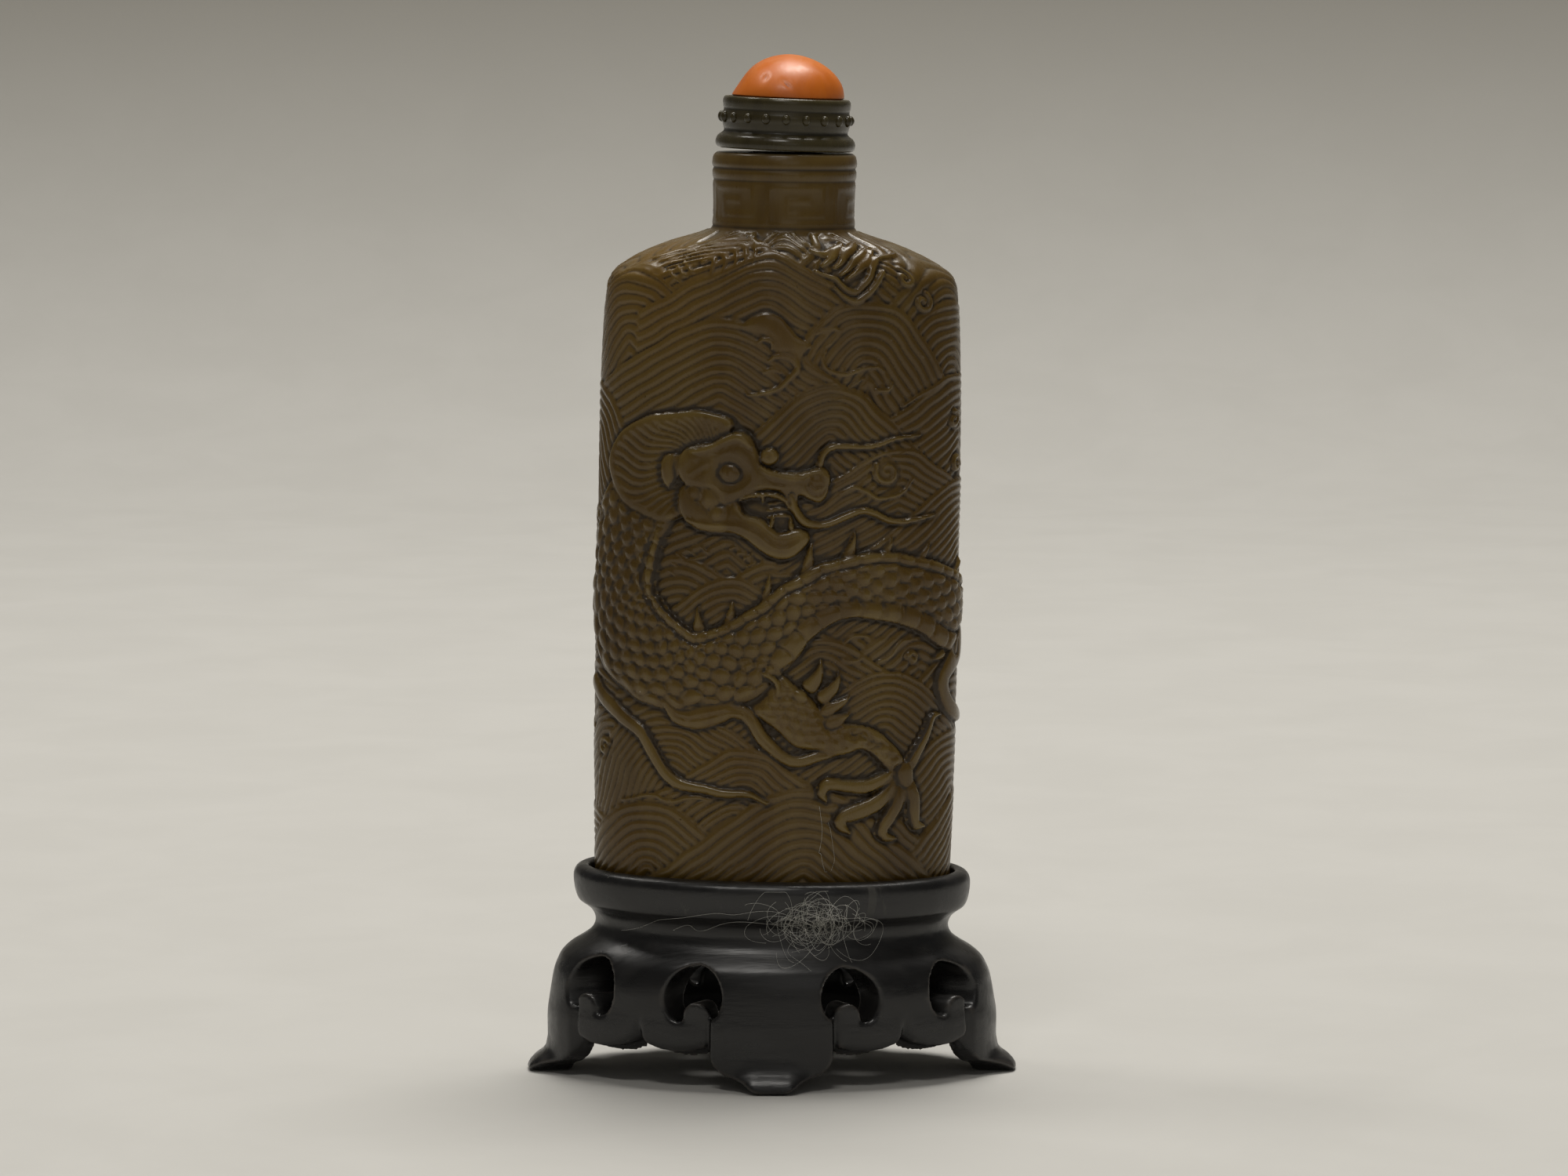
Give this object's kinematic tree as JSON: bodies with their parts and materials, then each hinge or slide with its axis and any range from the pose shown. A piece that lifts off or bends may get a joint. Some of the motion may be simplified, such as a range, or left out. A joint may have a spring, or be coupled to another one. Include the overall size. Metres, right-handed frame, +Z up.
{
  "type": "snuff bottle on stand",
  "caption": "Flattened oval snuff bottle carved with a dragon among waves, with a beaded coral-topped stopper, standing in a pierced dark wood stand.",
  "frame": {"origin": "on the ground under the middle of the stand, halfway between its toes both ways", "axes": "+Z up along the bottle, +X across its width, and the face with the dragon's head looks along -Y"},
  "size_m": [0.047, 0.026, 0.0968],
  "materials": {
    "stand_wood": "ebonised hardwood, hand polished to a soft sheen",
    "carved_horn": "olive-brown horn, carved in low relief and polished to a waxy gloss",
    "collar_horn": "dark olive-brown horn, turned and beaded, satin",
    "coral": "polished orange coral with small natural pits",
    "cork": "dry natural cork"
  },
  "bodies": {
    "root": {"stand": "stand_wood", "bottle": "carved_horn", "stopper_collar": "collar_horn", "stopper_cabochon": "coral", "stopper_cork": "cork"}
  },
  "joints": []
}
